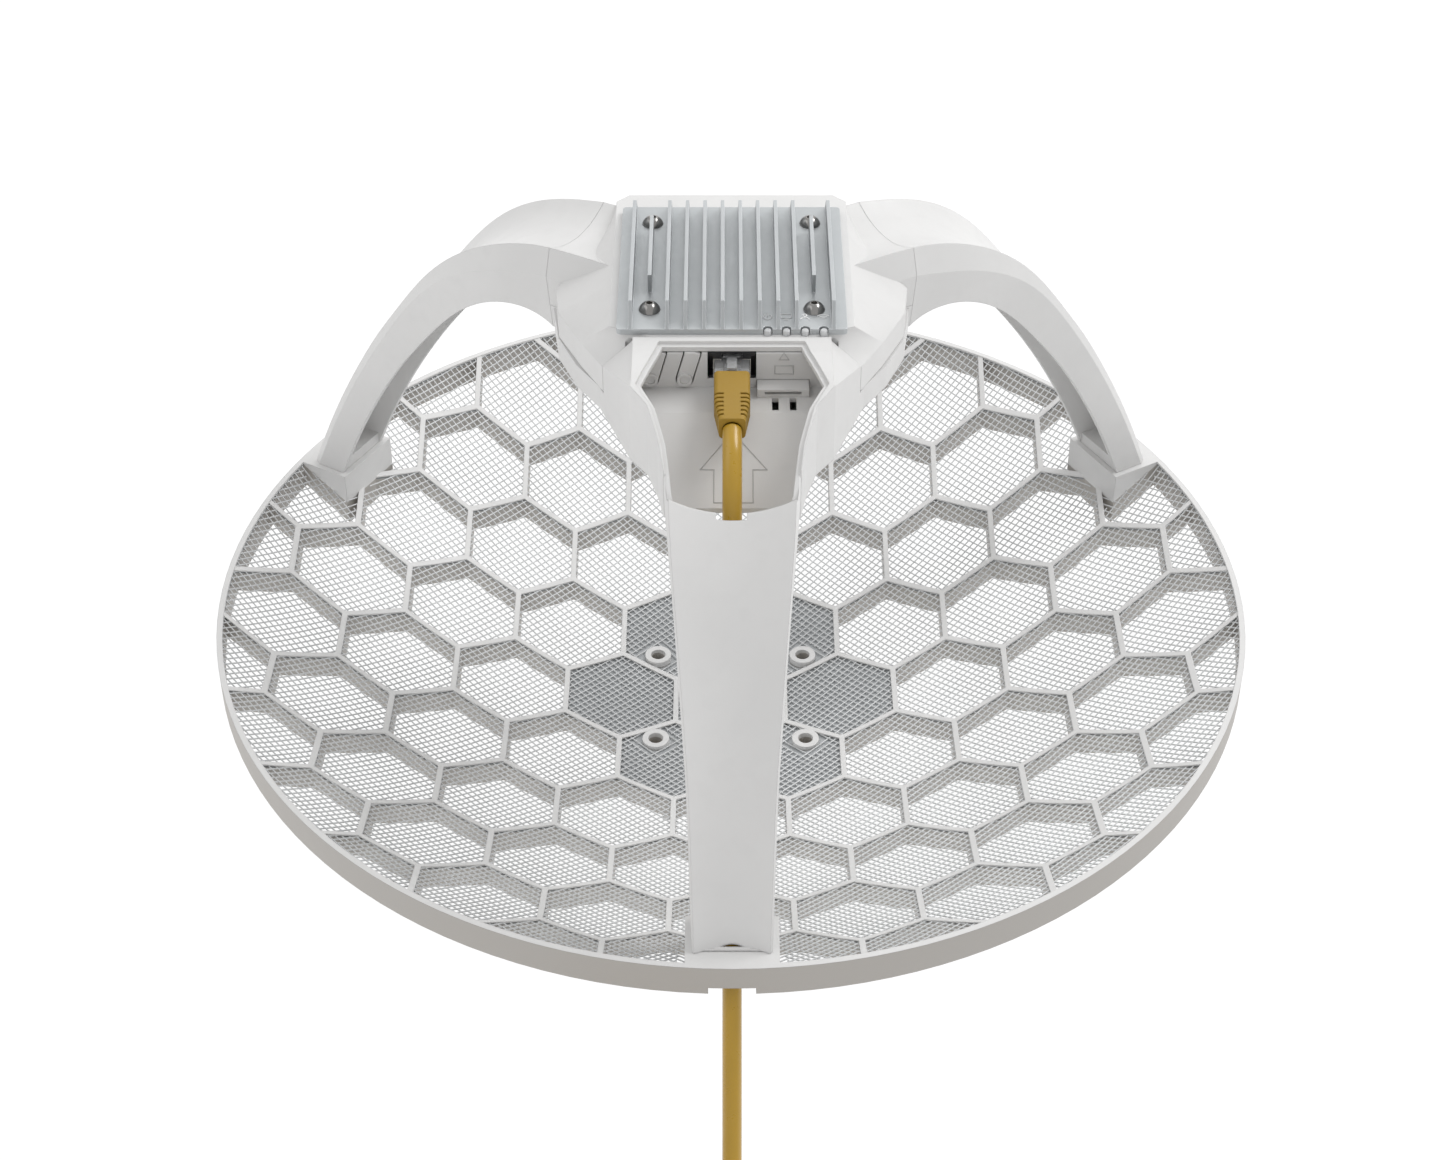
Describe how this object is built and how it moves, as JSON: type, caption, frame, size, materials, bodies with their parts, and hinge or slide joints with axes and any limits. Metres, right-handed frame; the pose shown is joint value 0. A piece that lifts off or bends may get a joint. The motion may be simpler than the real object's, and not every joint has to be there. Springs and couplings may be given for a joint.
{
  "type": "outdoor wireless bridge",
  "caption": "Round honeycomb mesh dish on a pole bracket; curved arms carry a finned feed hub over it, and a network cable runs down one arm.",
  "frame": {"origin": "under the dish's axis, on the plane that the mounting bracket stands on", "axes": "+Z along the dish's axis, from its back towards the feed hub; -Y along the arm that carries the cable; +X to the right, seen from the cable's side"},
  "size_m": [0.391, 0.5265, 0.2495],
  "materials": {
    "white_plastic": "fine satin texture",
    "mesh_wire": "drawn wire, satin",
    "bracket": "moulded, matt",
    "steel": "zinc plated",
    "insert": "turned",
    "sink": "satin anodised",
    "dark_screw": "dark chrome",
    "gasket": "matt",
    "pad": "soft matt",
    "board": "solder mask",
    "chip": "moulded",
    "can": "tin plated",
    "capacitor": "satin",
    "post": "turned",
    "feed": "coated board",
    "pin": "plated",
    "dark_plastic": "moulded",
    "shield": "plated sheet",
    "contact": "gold plated",
    "tray": "fine satin texture",
    "light_guide": "clear",
    "lamp": "clear",
    "cord": "satin jacket",
    "clear_plug": "clear",
    "boot": "satin"
  },
  "bodies": {
    "bridge": {"dish_frame": "white_plastic", "reflector_mesh": "mesh_wire", "mount_bracket": "bracket", "bracket_screws": "steel", "threaded_inserts": "insert", "hub_body": "white_plastic", "hub_cover": "white_plastic", "heat_sink": "sink", "heat_sink_screws": "dark_screw", "sink_gasket": "gasket", "thermal_pad": "pad", "circuit_board": "board", "processor": "chip", "shield_can": "can", "capacitors": "capacitor", "board_posts": "post", "board_screws": "steel", "feed_antenna": "feed", "feed_pin": "pin", "jack_body": "dark_plastic", "jack_shield": "shield", "jack_contacts": "contact", "port_tray": "tray", "card_holder": "tray", "light_guides": "light_guide", "lamps": "lamp", "button_switches": "dark_plastic", "cord_tube": "cord", "cord_coil": "cord", "cord_tail": "cord", "arm_left": "white_plastic", "arm_right": "white_plastic", "plug_body": "clear_plug", "plug_contacts": "contact", "plug_boot": "boot", "far_plug_body": "clear_plug", "far_plug_contacts": "contact", "far_plug_boot": "boot"},
    "reset": {"reset_button": "white_plastic"},
    "mode": {"mode_button": "white_plastic"},
    "latch": {"plug_latch": "clear_plug"},
    "far_latch": {"far_plug_latch": "clear_plug"}
  },
  "joints": [
    {"name": "reset_press", "type": "slide", "parent": "bridge", "child": "reset", "axis": [0, 1, 0], "range_m": [0, 0.0008], "stiffness_N_per_m": 400},
    {"name": "mode_press", "type": "slide", "parent": "bridge", "child": "mode", "axis": [0, 1, 0], "range_m": [0, 0.0008], "stiffness_N_per_m": 400},
    {"name": "latch_press", "type": "hinge", "parent": "bridge", "child": "latch", "pos_m": [0, -0.037, 0.2337], "axis": [1, 0, 0], "range_deg": [0, 2.5], "stiffness_Nm_per_rad": 0.05},
    {"name": "far_latch_press", "type": "hinge", "parent": "bridge", "child": "far_latch", "pos_m": [-0.0825, -0.2125, 0.00855], "axis": [1, 0, 0], "range_deg": [0, 5], "stiffness_Nm_per_rad": 0.05}
  ]
}
